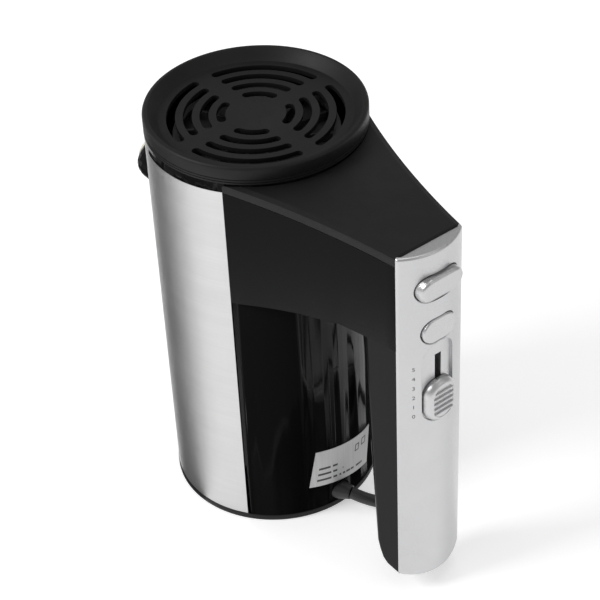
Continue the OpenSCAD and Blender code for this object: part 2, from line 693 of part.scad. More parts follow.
heel_cap();
heel_screws();
body_shell();
steel_wrap();
beater_boss();
lid_grille();
arm_shell();
arm_top_cover();
grip_shell();
handle_face();
rating_label();
eject_button();
ejector_yoke();
ejector_spring();
turbo_button();
turbo_spring();
turbo_switch();
speed_knob();
speed_carriage();
speed_board();
suppressor_capacitor();
triac_heatsink();
rear_bracket();
rear_bearing();
brush_holders();
carbon_brushes();
brush_springs();
stator_core();
field_coils();
motor_screws();
motor_shaft();
commutator();
armature_core();
armature_windings();
worm();
cooling_fan();
gear_frame();
front_bearing();
top_bush();
front_spindle_bushes();
rear_spindle_bushes();
left_spindle_gear();
right_spindle_gear();
inner_lead();
cord_clamp();
clamp_screws();
cord_guard();
mains_cord();
cord_coil();
cord_tie();
mains_plug();
plug_pins();
plug_lead();
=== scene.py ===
# Hand mixer: looks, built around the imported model
import json
import math

import bmesh
import bpy
import numpy as np
from mathutils import Matrix, Vector


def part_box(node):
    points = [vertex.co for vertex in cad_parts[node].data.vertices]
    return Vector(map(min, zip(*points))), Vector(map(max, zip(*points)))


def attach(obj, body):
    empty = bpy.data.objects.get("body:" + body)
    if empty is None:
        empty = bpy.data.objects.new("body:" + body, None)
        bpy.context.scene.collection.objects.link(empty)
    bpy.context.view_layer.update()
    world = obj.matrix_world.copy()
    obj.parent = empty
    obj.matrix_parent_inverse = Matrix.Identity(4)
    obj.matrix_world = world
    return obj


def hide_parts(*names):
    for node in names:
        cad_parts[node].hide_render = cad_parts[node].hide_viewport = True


mm = 0.001

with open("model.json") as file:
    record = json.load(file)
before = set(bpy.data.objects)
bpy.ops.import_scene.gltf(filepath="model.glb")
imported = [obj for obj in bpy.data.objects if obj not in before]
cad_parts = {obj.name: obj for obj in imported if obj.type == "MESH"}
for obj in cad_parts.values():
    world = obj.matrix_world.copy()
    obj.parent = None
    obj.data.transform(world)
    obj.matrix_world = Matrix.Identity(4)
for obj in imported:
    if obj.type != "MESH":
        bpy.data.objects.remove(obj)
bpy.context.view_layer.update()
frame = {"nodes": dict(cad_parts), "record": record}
print("frame loaded:", len(frame["nodes"]), "nodes")


# ---- camera: stands off the grip's right-hand side and looks down on the lid
camera = {
    "target": (0, 0, 96),            # on the housing's axis, mm
    "azimuth": -37.16,               # seen from above, from +X
    "elevation": 38.7,
    "roll": -2.97,
    "distance": 862.9,
    "shift": (14.59, -2.85),         # how far the aim is moved right and up, mm
    "lens": 113.52,
}


def makeCamera():
    azimuth = math.radians(camera["azimuth"])
    elevation = math.radians(camera["elevation"])
    level = math.cos(elevation)
    back = Vector((math.cos(azimuth) * level, math.sin(azimuth) * level, math.sin(elevation)))
    right = Vector((0, 0, 1)).cross(back).normalized()
    up = back.cross(right)
    aim = Vector(camera["target"]) + right * camera["shift"][0] + up * camera["shift"][1]
    turn = Matrix.Rotation(math.radians(camera["roll"]), 3, back)
    right, up = turn @ right, turn @ up
    made = bpy.data.objects.new("camera", bpy.data.cameras.new("camera"))
    bpy.context.scene.collection.objects.link(made)
    made.data.lens = camera["lens"]
    made.data.sensor_width = 36
    facing = Matrix((right, up, back)).transposed().to_4x4()
    made.matrix_world = Matrix.Translation((aim + back * camera["distance"]) * mm) @ facing
    bpy.context.scene.camera = made


makeCamera()
print("camera set")


# ---- the mains cord: its route, coil and plug lie where the part has them
cord = {
    "diameter": 5.8,
    "exit": (53, 2.6, 7.8),
    "route": [
        (53, 2.6, 7.8), (58, 5.4, 6.6), (62.6, 9.2, 5.2), (66, 14, 4), (68, 20, 3.2), (68.5, 27, 2.9),
        (67, 34, 2.9), (63, 42, 2.9), (56, 49, 2.9), (46, 54.5, 2.9), (34, 58.5, 2.9), (20, 62, 2.9),
        (5, 66, 2.9), (-11, 71.5, 2.9), (-28, 78.8, 2.9), (-45, 86.4, 2.9), (-62.3, 92.1, 2.9)],
    "tail": [
        (-33.5, 56, 9.6), (-32.4, 64.8, 12.4), (-34.7, 73.5, 15.4), (-41.1, 80.8, 17.7),
        (-51.5, 83.1, 18.25)],
    "smooth": 4,                            # steps between two points of the route or the tail
    "coil": (-74, 56),                      # its middle
    "joins": 72,                            # where the route meets the coil, degrees
    "turns": [38, 32, 26, 29, 35, 40.5],    # radius of each turn, the last ones on top
    "heights": [2.9, 2.9, 2.9, 8.5, 8.5, 9.6],
    "pitch": 6,                             # degrees from one point of the coil to the next
    "steps": 0.8,                           # part of a turn after which it moves to the next radius
    "rises": 0.68,                          # and after which it moves to the next height
    "move": 0.2,                            # part of a turn that either takes
    "leaves": 288,                          # angle of the last turn, up to where it leaves
}
settling = {
    "apart": 15,                            # along the cord, mm; nearer stretches don't push
    "gap": 0.12,
    "passes": 120,
    "push": 0.3,
    "spread": 0.15,                         # share of a point's move that each neighbour takes
    "fixed": (9, 10),                       # points that stay, from the route's end and the tail's
}


def curvePoint(points, i, t):
    a, b, c, d = [Vector(points[max(0, min(len(points) - 1, k))]) for k in (i - 1, i, i + 1, i + 2)]
    square = (2 * a - 5 * b + 4 * c - d) * t * t
    cube = (3 * b - a - 3 * c + d) * t ** 3
    return 0.5 * (2 * b + (c - a) * t + square + cube)


def smoothPath(points, steps):
    line = [curvePoint(points, i, k / steps) for i in range(len(points) - 1) for k in range(steps)]
    return line + [Vector(points[-1])]


def eased(t):
    t = max(0.0, min(1.0, t))
    return t * t * (3 - 2 * t)


def coilPath():
    radii, heights = cord["turns"], cord["heights"]
    middle, move, pitch = cord["coil"], cord["move"], cord["pitch"]
    last = len(radii) - 2
    line = []
    for degrees in range(pitch, 360 * last + cord["leaves"], pitch):
        turn, part = divmod(degrees / 360, 1)
        turn = int(turn)
        early = move if turn == last else 0
        step = eased((part + early - cord["steps"]) / move)
        rise = eased((part + early - cord["rises"]) / move)
        radius = radii[turn] + (radii[turn + 1] - radii[turn]) * step
        height = heights[turn] + (heights[turn + 1] - heights[turn]) * rise
        at = math.radians(cord["joins"] + degrees)
        line.append(Vector((middle[0] + radius * math.cos(at), middle[1] + radius * math.sin(at), height)))
    return line


# Turns that touch are pushed apart, and nothing sinks into the floor
def settled(line, first, last):
    base = np.array([tuple(point) for point in line])
    gone = np.cumsum(np.linalg.norm(np.diff(base, axis=0, prepend=base[:1]), axis=1))
    near = np.abs(gone[:, None] - gone[None]) < settling["apart"]
    least = cord["diameter"] + settling["gap"]
    spread = settling["spread"]
    moved = np.zeros_like(base)
    for _ in range(settling["passes"]):
        now = base + moved
        apart = now[:, None] - now[None]
        distance = np.linalg.norm(apart, axis=2) + 1e-6
        short = np.where(near, 0, np.clip(least - distance, 0, None))
        moved += (apart / distance[..., None] * short[..., None]).sum(axis=1) * settling["push"]
        moved[1:-1] = moved[1:-1] * (1 - 2 * spread) + (moved[:-2] + moved[2:]) * spread
        moved[:, 2] = np.maximum(moved[:, 2], cord["diameter"] / 2 - base[:, 2])
        moved[:first] = 0
        moved[last:] = 0
    return base + moved


def makeCord():
    start = smoothPath(cord["route"], cord["smooth"])
    end = smoothPath(cord["tail"], cord["smooth"])
    line = start + coilPath() + end
    first, last = settling["fixed"]
    points = settled(line, len(start) - first, len(line) - last) * mm
    curve = bpy.data.curves.new("mains_lead", "CURVE")
    curve.dimensions = "3D"
    curve.bevel_depth = cord["diameter"] / 2 * mm
    curve.bevel_resolution = 5
    curve.use_fill_caps = True
    spline = curve.splines.new("POLY")
    spline.points.add(len(points) - 1)
    for knot, point in zip(spline.points, points):
        knot.co = (*point, 1)
    lead = bpy.data.objects.new("mains_lead", curve)
    bpy.context.scene.collection.objects.link(lead)
    length = float(np.linalg.norm(np.diff(points, axis=0), axis=1).sum())
    print("cord length:", round(length, 3), "m")
    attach(lead, "root")
    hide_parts("mains_cord", "cord_coil", "plug_lead")
    return lead, length


# A closed shell through rings with the same number of points; each cap folds a ring's halves together
def skin(name, rings, sharp=38):
    count = len(rings[0])
    faces = []
    for level in range(len(rings) - 1):
        for k in range(count):
            low, high = level * count, level * count + count
            faces.append((low + k, low + (k + 1) % count, high + (k + 1) % count, high + k))
    for low in (0, (len(rings) - 1) * count):
        for k in range(count // 2 - 1):
            faces.append((low + k, low + k + 1, low + count - 2 - k, low + count - 1 - k))
        if count % 2:
            faces.append((low + count // 2 - 1, low + count // 2, low + count // 2 + 1))
    data = bpy.data.meshes.new(name)
    data.from_pydata([tuple(Vector(point) * mm) for ring in rings for point in ring], [], faces)
    mesh = bmesh.new()
    mesh.from_mesh(data)
    bmesh.ops.remove_doubles(mesh, verts=mesh.verts, dist=1e-7)
    bmesh.ops.recalc_face_normals(mesh, faces=mesh.faces)
    mesh.to_mesh(data)
    mesh.free()
    made = bpy.data.objects.new(name, data)
    bpy.context.scene.collection.objects.link(made)
    soften(made, sharp)
    return made


def soften(thing, sharp):
    thing.data.polygons.foreach_set("use_smooth", [True] * len(thing.data.polygons))
    thing.data.set_sharp_from_angle(angle=math.radians(sharp))
    even = thing.modifiers.new("even", "WEIGHTED_NORMAL")
    even.keep_sharp = True


# A flat shape with round ends, as (sideways, up) points that mirror top to bottom
def pill(width, height, steps=14):
    radius = min(width, height) / 2
    points = []
    for k in range(4 * steps):
        angle = (k + 0.5) * math.pi / 2 / steps
        across = math.copysign(width / 2 - radius, math.cos(angle))
        up = math.copysign(height / 2 - radius, math.sin(angle))
        points.append((across + radius * math.cos(angle), up + radius * math.sin(angle)))
    return points


plug = {
    "at": (-51.5, 83.1, 18.25),
    "turn": 175,
    # along the plug from its lead end: distance, width, height
    "sections": [
        (0, 8, 8), (0.4, 9, 8.8), (2.2, 9.3, 9), (2.5, 7.6, 7.6), (3.4, 7.6, 7.6),
        (3.7, 9.8, 9.2), (5.3, 10.2, 9.4), (5.6, 8.2, 8.2), (6.5, 8.2, 8.2), (6.8, 10.8, 9.6),
        (8.6, 11.8, 10), (11, 14.6, 10.9), (15, 20.4, 12.3), (19, 24.4, 13.2), (23, 25.8, 13.5),
        (34.4, 26, 13.5), (35.4, 25.4, 12.9), (36, 24.4, 11.9)],
}


def makePlug():
    turn = Matrix.Translation(plug["at"]) @ Matrix.Rotation(math.radians(plug["turn"]), 4, "Z")
    rings = []
    for x, width, height in plug["sections"]:
        rings.append([turn @ Vector((x, side, up)) for side, up in pill(width, height)])
    made = skin("plug_body", rings, 50)
    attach(made, "root")
    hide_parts("mains_plug")
    return made


lead, leadLength = makeCord()
plugBody = makePlug()
print("cord laid")


# ---- shader maths
class Wire:
    def __init__(self, tree, socket=None):
        self.tree = tree
        self.socket = socket

    def node(self, kind, settings=None, inputs=None, out=0):
        made = self.tree.nodes.new("ShaderNode" + kind)
        for name, value in (settings or {}).items():
            setattr(made, name, value)
        for name, value in (inputs or {}).items():
            socket = made.inputs[name]
            if isinstance(value, Wire):
                self.tree.links.new(value.socket, socket)
            else:
                socket.default_value = value
        return Wire(self.tree, made.outputs[out])

    def maths(self, operation, first, second=0.0, clamp=False):
        return self.node("Math", {"operation": operation, "use_clamp": clamp}, {0: first, 1: second})

    def __add__(self, other):
        return self.maths("ADD", self, other)

    def __radd__(self, other):
        return self.maths("ADD", other, self)

    def __sub__(self, other):
        return self.maths("SUBTRACT", self, other)

    def __rsub__(self, other):
        return self.maths("SUBTRACT", other, self)

    def __mul__(self, other):
        return self.maths("MULTIPLY", self, other)

    def __rmul__(self, other):
        return self.maths("MULTIPLY", other, self)

    def __lt__(self, other):
        return self.maths("LESS_THAN", self, other)

    def __gt__(self, other):
        return self.maths("GREATER_THAN", self, other)


def place(wire):
    return wire.node("NewGeometry", out="Position")


def stretched(wire, scale):
    return wire.node("Mapping", {"vector_type": "POINT"}, {"Vector": place(wire), "Scale": scale})


def noise(wire, vector, scale, detail=2.0, rough=0.5, out="Fac"):
    sizes = {"Vector": vector, "Scale": scale, "Detail": detail, "Roughness": rough}
    return wire.node("TexNoise", {}, sizes, out)


def mixColour(wire, mask, first, second):
    return wire.node("Mix", {"data_type": "RGBA"}, {0: mask, 6: first, 7: second}, 2)


def bump(wire, height, strength, distance=0.0005, below=None):
    inputs = {"Height": height, "Strength": strength, "Distance": distance}
    if below:
        inputs["Normal"] = below
    return wire.node("Bump", {}, inputs)


def material(name, build):
    made = bpy.data.materials.new(name)
    made.use_nodes = True
    tree = made.node_tree
    tree.nodes.clear()
    surface = tree.nodes.new("ShaderNodeBsdfPrincipled")
    tree.links.new(surface.outputs[0], tree.nodes.new("ShaderNodeOutputMaterial").inputs[0])
    wire = Wire(tree)
    for socket, value in build(wire).items():
        if isinstance(value, Wire):
            tree.links.new(value.socket, surface.inputs[socket])
        else:
            surface.inputs[socket].default_value = value
    return made


def rgb(r, g=None, b=None):
    return (r, r if g is None else g, r if b is None else b, 1)


def wear(wire, scale=60.0, low=0.45, high=0.75):
    patches = noise(wire, place(wire), scale, 4.0, 0.6)
    return wire.node("MapRange", {"clamp": True}, {0: patches, 1: low, 2: high, 3: 0.0, 4: 1.0})


glossPlastic = {"colour": 0.0055, "rough": 0.13, "smear": 0.08, "peel": 0.015}


def glossBlack(wire):
    smears = wear(wire, 34.0)
    dust = noise(wire, place(wire), 1500.0, 1.0) > 0.78
    peel = noise(wire, place(wire), 420.0, 1.0)
    return {
        "Base Color": mixColour(wire, dust * 0.35, rgb(glossPlastic["colour"]), rgb(0.06)),
        "Roughness": glossPlastic["rough"] + smears * glossPlastic["smear"],
        "Normal": bump(wire, peel, glossPlastic["peel"], 0.0004),
        "IOR": 1.13,
    }


satinPlastic = {"colour": 0.008, "rubbed": 0.0108, "rough": 0.42}


def satinBlack(wire):
    grain = noise(wire, place(wire), 2600.0, 2.0)
    patches = wear(wire, 45.0)
    return {
        "Base Color": mixColour(wire, patches, rgb(satinPlastic["colour"]), rgb(satinPlastic["rubbed"])),
        "Roughness": satinPlastic["rough"] + grain * 0.14 - patches * 0.05,
        "Normal": bump(wire, grain, 0.22, 0.0003),
        "IOR": 1.3,
    }


brushed = {"dark": (0.5, 0.5, 0.505), "light": (0.74, 0.735, 0.73), "rough": 0.24, "grain": 0.35}


def brushedSteel(wire):
    hair = noise(wire, stretched(wire, (60, 60, 6500)), 1.0, 3.0, 0.65)
    broad = noise(wire, stretched(wire, (14, 14, 260)), 1.0, 2.0)
    touch = wear(wire, 26.0)
    tone = hair * 0.55 + broad * 0.25
    return {
        "Base Color": mixColour(wire, tone, rgb(*brushed["dark"]), rgb(*brushed["light"])),
        "Metallic": 1.0,
        "Roughness": brushed["rough"] + hair * 0.16 + touch * 0.05,
        "Normal": bump(wire, hair, brushed["grain"], 0.0003),
    }


lacquer = {"dark": (0.5, 0.5, 0.508), "light": (0.66, 0.66, 0.665), "rough": 0.24}


def silverPaint(wire):
    flake = noise(wire, place(wire), 3800.0, 1.0)
    cloud = wear(wire, 30.0)
    tone = flake * 0.5 + cloud * 0.2
    return {
        "Base Color": mixColour(wire, tone, rgb(*lacquer["dark"]), rgb(*lacquer["light"])),
        "Metallic": 0.93,
        "Roughness": lacquer["rough"] + flake * 0.08 + cloud * 0.04,
        "Normal": bump(wire, flake, 0.3, 0.0002),
        "Coat Weight": 0.2,
        "Coat Roughness": 0.2,
    }


def plainMetal(colour, rough, metallic=1.0):
    def build(wire):
        marks = noise(wire, place(wire), 900.0, 3.0)
        patches = wear(wire, 120.0)
        darker = [c * 0.78 for c in colour]
        return {
            "Base Color": mixColour(wire, patches, rgb(*colour), rgb(*darker)),
            "Metallic": metallic,
            "Roughness": rough + marks * 0.15,
            "Normal": bump(wire, marks, 0.1, 0.0002),
        }
    return build


def moulding(colour, rough):
    def build(wire):
        grain = noise(wire, place(wire), 2200.0, 2.0)
        patches = wear(wire, 90.0)
        paler = [min(1, c * 1.2 + 0.004) for c in colour]
        return {
            "Base Color": mixColour(wire, patches, rgb(*colour), rgb(*paler)),
            "Roughness": rough + grain * 0.15,
            "Normal": bump(wire, grain, 0.15, 0.0003),
        }
    return build


def laminated(wire):
    z = wire.node("SeparateXYZ", {}, {0: place(wire)}, "Z")
    sheets = wire.maths("PINGPONG", z * 2000, 1.0)
    rust = wear(wire, 200.0)
    return {
        "Base Color": mixColour(wire, rust, rgb(0.27, 0.27, 0.28), rgb(0.17, 0.16, 0.155)),
        "Metallic": 0.8,
        "Roughness": 0.42 + sheets * 0.2,
        "Normal": bump(wire, sheets, 0.5, 0.0004),
    }


def windings(wire):
    strands = noise(wire, stretched(wire, (2400, 2400, 300)), 1.0, 2.0)
    return {
        "Base Color": mixColour(wire, strands, rgb(0.32, 0.1, 0.035), rgb(0.72, 0.32, 0.14)),
        "Metallic": 0.85,
        "Roughness": 0.26 + strands * 0.2,
        "Normal": bump(wire, strands, 0.8, 0.0006),
    }


def circuitBoard(wire):
    grid = {"Vector": stretched(wire, (1, 700, 700)), "Scale": 1.0, "Mortar Size": 0.04}
    cells = wire.node("TexBrick", {}, grid, "Fac")
    return {
        "Base Color": mixColour(wire, cells, rgb(0.02, 0.12, 0.05), rgb(0.05, 0.25, 0.11)),
        "Roughness": 0.35,
        "Normal": bump(wire, cells, 0.3, 0.0002),
    }


def sheath(wire):
    grain = noise(wire, place(wire), 1800.0, 2.0)
    return {
        "Base Color": mixColour(wire, grain, rgb(0.013), rgb(0.022)),
        "Roughness": 0.3 + grain * 0.15,
        "Normal": bump(wire, grain, 0.12, 0.0003),
        "IOR": 1.5,
    }


# The sticker's print is plain bars and two blank squares, in the sticker's own plane
label = {"turn": 4.3, "tilt": 10, "centre": 24.7, "radius": 48}


def labelFoil(wire):
    turn = math.radians(label["turn"])
    tilt = math.radians(label["tilt"])
    parts = [wire.node("SeparateXYZ", {}, {0: place(wire)}, axis) * 1000 for axis in "XYZ"]
    side = parts[1] * math.cos(turn) - parts[0] * math.sin(turn)
    rise = parts[2] - label["centre"]
    along = side * math.cos(tilt) - rise * math.sin(tilt)
    above = rise * math.cos(tilt) + side * math.sin(tilt)
    ink = 0.0
    for low, high, start, end in ((-7.6, -6.4, -15, 13), (-4.2, -3.0, -15, -1), (-0.8, 0.4, -15, -3)):
        row = (above > low) * (above < high) * (along > start) * (along < end)
        words = noise(wire, stretched(wire, (520, 520, 60)), 1.0, 0.0) > 0.45
        ink = row * words + ink
    for x0, x1, z0, z1 in ((6, 9, 2, 6), (11, 14.5, 3, 7)):
        outer = (along > x0) * (along < x1) * (above > z0) * (above < z1)
        inner = (along > x0 + 0.6) * (along < x1 - 0.6) * (above > z0 + 0.6) * (above < z1 - 0.6)
        ink = outer - inner + ink
    foil = noise(wire, stretched(wire, (900, 900, 30)), 1.0, 2.0)
    return {
        "Base Color": mixColour(wire, ink, mixColour(wire, foil, rgb(0.42), rgb(0.56)), rgb(0.05)),
        "Metallic": 0.55,
        "Roughness": 0.36 + foil * 0.1,
    }


finishes = {
    "black_gloss": material("glossBlack", glossBlack),
    "black_satin": material("satinBlack", satinBlack),
    "brushed_wrap": material("brushedSteel", brushedSteel),
    "silver_paint": material("silverPaint", silverPaint),
    "label_foil": material("labelFoil", labelFoil),
    "bright_steel": material("brightSteel", plainMetal((0.62, 0.62, 0.63), 0.18)),
    "nylon": material("nylon", moulding((0.72, 0.69, 0.6), 0.42)),
    "dark_moulding": material("darkMoulding", moulding((0.03, 0.03, 0.032), 0.4)),
    "circuit_board": material("circuitBoard", circuitBoard),
    "capacitor_case": material("capacitorCase", moulding((0.5, 0.36, 0.05), 0.35)),
    "alloy": material("alloy", plainMetal((0.5, 0.5, 0.51), 0.4)),
    "brass": material("brass", plainMetal((0.66, 0.46, 0.2), 0.28)),
    "carbon": material("carbon", moulding((0.025, 0.025, 0.026), 0.5)),
    "lamination": material("lamination", laminated),
    "copper": material("copper", windings),
    "cord_sheath": material("cordSheath", sheath),
}


# ---- every CAD node gets its finish, and its sharp edges are eased
edges = {
    "default": 0.25,
    "body_shell": 0.3,
    "lid_grille": 0.45,
    "arm_shell": 0.7,
    "heel_cap": 0.8,
    "beater_boss": 0.6,
}
easing = {"weld": 2e-6, "segments": 3, "angle": 32}
unbevelled = {
    "worm", "ejector_spring", "turbo_spring", "brush_springs", "inner_lead", "steel_wrap", "rating_label",
}


def easeEdges(thing, width):
    weld = thing.modifiers.new("weld", "WELD")
    weld.merge_threshold = easing["weld"]
    ease = thing.modifiers.new("ease", "BEVEL")
    ease.width = width * mm
    ease.segments = easing["segments"]
    ease.limit_method = "ANGLE"
    ease.angle_limit = math.radians(easing["angle"])
    ease.harden_normals = False


def dressNodes():
    slots = {part["node"]: part["material_slot"] for part in frame["record"]["subparts"]}
    for name, thing in frame["nodes"].items():
        thing.data.materials.clear()
        thing.data.materials.append(finishes[slots[name]])
        if name not in unbevelled:
            easeEdges(thing, edges.get(name, edges["default"]))


dressNodes()
print("nodes dressed")


# ---- outer pieces with finer surfaces than the CAD nodes they stand for
def corner(node, which):
    return Vector(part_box(node)[which]) / mm


faceLow, faceHigh = corner("handle_face", 0), corner("handle_face", 1)
face = {
    "half": faceHigh.y,
    "side": faceLow.x + 1,               # front of the flat sides
    "fillet": 2.0,
    "columns": 96,                       # strips across the crown
    "rows": 8,                           # height of a row, mm
    "topRound": 1.2,
    "footArc": 50,
    "recess": (16.6, 42, 120.5),         # width, height, middle height
    "recessDepth": 1.2,
    "eject": (23, 13, 170.6),
    "turbo": (18, 12.5, 148.2),
    "slot": (1.65, 106.5, 134.5),        # half width, lower and upper end
    "inside": 100,                       # the openings are cut from here
    "outside": 121,                      # to here
    "rim": 0.45,                         # round at the edge of an opening
    "pocket": 0.8,
    "ridge": 1.9,                        # width of the rim round the sunken top
    "pocketReach": 60,                   # degrees to each side of the middle
}
crown = faceHigh.x - face["side"]
crownRadius = (face["half"] ** 2 + crown ** 2) / (2 * crown)
crownAxis = faceHigh.x - crownRadius


def crownX(side, depth=0.0):
    return crownAxis + math.sqrt((crownRadius - depth) ** 2 - side ** 2)


def faceOutline(inset):
    half, radius, fillet = face["half"] - inset, crownRadius - inset, face["fillet"]
    side = half - fillet
    front = crownAxis + math.sqrt((radius - fillet) ** 2 - side ** 2)
    edge = math.atan2(side, front - crownAxis)
    points = [(faceLow.x, -half)]
    for k in range(9):
        angle = -math.pi / 2 + (math.pi / 2 - edge) * k / 8
        points.append((front + fillet * math.cos(angle), -side + fillet * math.sin(angle)))
    for k in range(1, face["columns"]):
        angle = -edge + 2 * edge * k / face["columns"]
        points.append((crownAxis + radius * math.cos(angle), radius * math.sin(angle)))
    return points + [(x, -y) for x, y in reversed(points[:10])]


def footHeight(side):
    return faceLow.z + face["footArc"] - math.sqrt(face["footArc"] ** 2 - side ** 2)


def carve(thing, cutters):
    for cutter in cutters:
        cut = thing.modifiers.new("cut", "BOOLEAN")
        cut.operation = "DIFFERENCE"
        cut.solver = "MANIFOLD"
        cut.object = cutter
    done = thing.evaluated_get(bpy.context.evaluated_depsgraph_get())
    carved = bpy.data.meshes.new_from_object(done)
    thing.modifiers.clear()
    thing.data = carved
    for cutter in cutters:
        bpy.data.objects.remove(cutter)


# A cutter that opens the crowned face, with a small round at its edge and, for a recess, at its floor
def opening(size, depth=None):
    width, height, middle = size
    rim = face["rim"]
    levels = [(rim * (1 - math.sin(a)), rim * (1 - math.cos(a))) for a in (0, 0.3, 0.6, 0.9, 1.2, 1.45)]
    levels.append((-4, rim))
    if depth:
        levels = [(depth, -0.35), (depth - 0.1, -0.1), (depth - 0.35, 0)] + levels
    rings = []
    if not depth:
        rings.append([(face["inside"], side, middle + up) for side, up in pill(width, height)])
    for down, out in levels:
        rings.append([(crownX(side, max(down, 0)) - min(down, 0), side, middle + up)
                      for side, up in pill(width + 2 * out, height + 2 * out)])
    return skin("opening", rings)


def makeFace():
    rings = []
    for inset, rise in ((0.8, 0), (0.35, 0.12), (0.08, 0.4), (0, 0.8)):
        rings.append([(x, y, footHeight(y) + rise) for x, y in faceOutline(inset)])
    heights = [(0, drop) for drop in range(160, 0, -face["rows"])]
    reach = face["topRound"]
    roundedTop = []
    for degrees in range(0, 91, 10):
        angle = math.radians(degrees)
        roundedTop.append((reach - reach * math.cos(angle), reach - reach * math.sin(angle)))
    for inset, drop in heights + roundedTop:
        rings.append([(x, y, faceHigh.z - drop) for x, y in faceOutline(inset)])
    made = skin("front_face", rings)
    half, low, high = face["slot"]
    slotRings = []
    for x in (face["inside"], face["outside"]):
        slotRings.append([(x, -half, low), (x, half, low), (x, half, high), (x, -half, high)])
    pocketRings = []
    turn = math.radians(face["pocketReach"])
    for rise, wider in ((-face["pocket"], 0), (-0.1, 0.25), (2, 0.4)):
        radius = crownRadius - face["ridge"] + wider
        arc = [-turn + 2 * turn * k / 47 for k in range(48)]
        z = faceHigh.z + rise
        pocketRings.append([(crownAxis + radius * math.cos(a), radius * math.sin(a), z) for a in arc])
    cutters = [opening(face["eject"]), opening(face["turbo"]), opening(face["recess"], face["recessDepth"]),
               skin("slotCutter", slotRings), skin("pocketCutter", pocketRings)]
    carve(made, cutters)
    soften(made, 14)
    return dressed(made, "root", "silver_paint", "handle_face")


def dressed(made, body, slotName, *nodes):
    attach(made, body)
    if nodes:
        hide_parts(*nodes)
    made.data.materials.clear()
    made.data.materials.append(finishes[slotName])
    return made


# hinge is a height over a button's middle; below it the front leans back
eject = {"size": (22.4, 12.4), "middle": 170.6, "inner": 104, "fillet": 1.7, "tilt": 10, "hinge": 5}
turbo = {"size": (17.4, 11.9), "middle": 148.2, "inner": 104, "fillet": 0.9, "tilt": 0, "hinge": 0}


# A button with a flat front whose edge is rounded
def button(name, facts, front):
    width, height = facts["size"]
    lean = math.tan(math.radians(facts["tilt"]))
    rings = [[(facts["inner"], side, facts["middle"] + up) for side, up in pill(width, height)]]
    for angle in (0, 0.25, 0.5, 0.75, 1.0, 1.25, math.pi / 2):
        depth = facts["fillet"] * (1 - math.sin(angle))
        inset = facts["fillet"] * (1 - math.cos(angle))
        ring = []
        for side, up in pill(width - 2 * inset, height - 2 * inset):
            ring.append((front + min(0, up - facts["hinge"]) * lean - depth, side, facts["middle"] + up))
        rings.append(ring)
    return skin(name, rings, 40)


def makeButtons():
    made = button("eject_key", eject, corner("eject_button", 1).x)
    dressed(made, "ejector", "silver_paint", "eject_button")
    flat = button("turbo_key", turbo, corner("turbo_button", 1).x)
    dressed(flat, "turbo", "silver_paint", "turbo_button")


knob = {
    "size": (15.8, 22),
    "middle": 111,
    "dome": (2.6, 3.4),                  # how far its sides round inwards, and over what depth
    "dish": (0.25, 0.965, 0.975),        # depth of the sunken platform, and its share of each side
    "ribs": 5,
    "pitch": 2.7,
    "rib": (10.4, 1.1, 0.6),             # length, width and height over the platform
    "ribRound": 0.42,
    "stalk": (107.8, 115, 1.4, 4),       # from, to, half width, half height
}


def makeKnob():
    width, height = knob["size"]
    middle = knob["middle"]
    wide, tall, proud = knob["rib"]
    high = corner("speed_knob", 1).x - proud
    floor = face["recessDepth"] - 0.3
    inward, deep = knob["dome"]
    rings = [[(crownX(side, floor), side, middle + up) for side, up in pill(width, height)]]
    for k in range(9):
        angle = math.pi / 2 * k / 8
        inset = inward * (1 - math.cos(angle))
        depth = deep * (1 - math.sin(angle))
        rings.append([(high - depth, side, middle + up)
                      for side, up in pill(width - 2 * inset, height - 2 * inset)])
    sunk, across, along = knob["dish"]
    rings.append([(x - sunk, side * across, middle + (up - middle) * along) for x, side, up in rings[-1]])
    dressed(skin("speed_slide", rings, 40), "slider", "silver_paint", "speed_knob")
    for i in range(knob["ribs"]):
        at = middle + knob["pitch"] * (i - (knob["ribs"] - 1) / 2)
        rows = []
        for k in range(7):
            angle = math.pi / 2 * k / 6
            inset = knob["ribRound"] * (1 - math.cos(angle))
            x = high - 0.3 + (proud + 0.3) * math.sin(angle)
            rows.append([(x, side, at + up) for side, up in pill(wide - 2 * inset, tall - 2 * inset, 6)])
        dressed(skin("slide_rib_" + str(i + 1), rows, 60), "slider", "silver_paint")
    back, front, half, up = knob["stalk"]
    low = middle - up
    top = middle + up
    stalk = [[(x, -half, low), (x, half, low), (x, half, top), (x, -half, top)] for x in (back, front)]
    dressed(skin("slide_stalk", stalk), "slider", "silver_paint")


cover = {
    "arc": 400,                          # radius of the hollow sides
    "x0": 27.13,                         # where the sides meet the housing
    "half": (39.6, 17.3),                # half width there and at the grip
    "front": 109.8,
    "back": 19.13,
    "tops": (191.4, 188),                # height of the top above back and front
    "housing": 48.1,
    # the edge from below: how far under the top, and how far inside the outline
    "edge": [
        (4.4, 0.25), (4.2, 0.05), (4.0, 0), (1.2, 0), (0.95, 0.06), (0.75, 0.24), (0.66, 0.45),
        (0.16, 2.2), (0.04, 2.5), (0, 2.9)],
}


def coverSide(x, inset):
    dx = cover["front"] - cover["x0"]
    dy = cover["half"][0] - cover["half"][1]
    chord = math.hypot(dx, dy)
    reach = math.sqrt(cover["arc"] ** 2 - chord ** 2 / 4)
    cx = (cover["front"] + cover["x0"]) / 2 + reach * dy / chord
    cy = sum(cover["half"]) / 2 + reach * dx / chord
    return cy - math.sqrt((cover["arc"] + inset) ** 2 - (x - cx) ** 2)


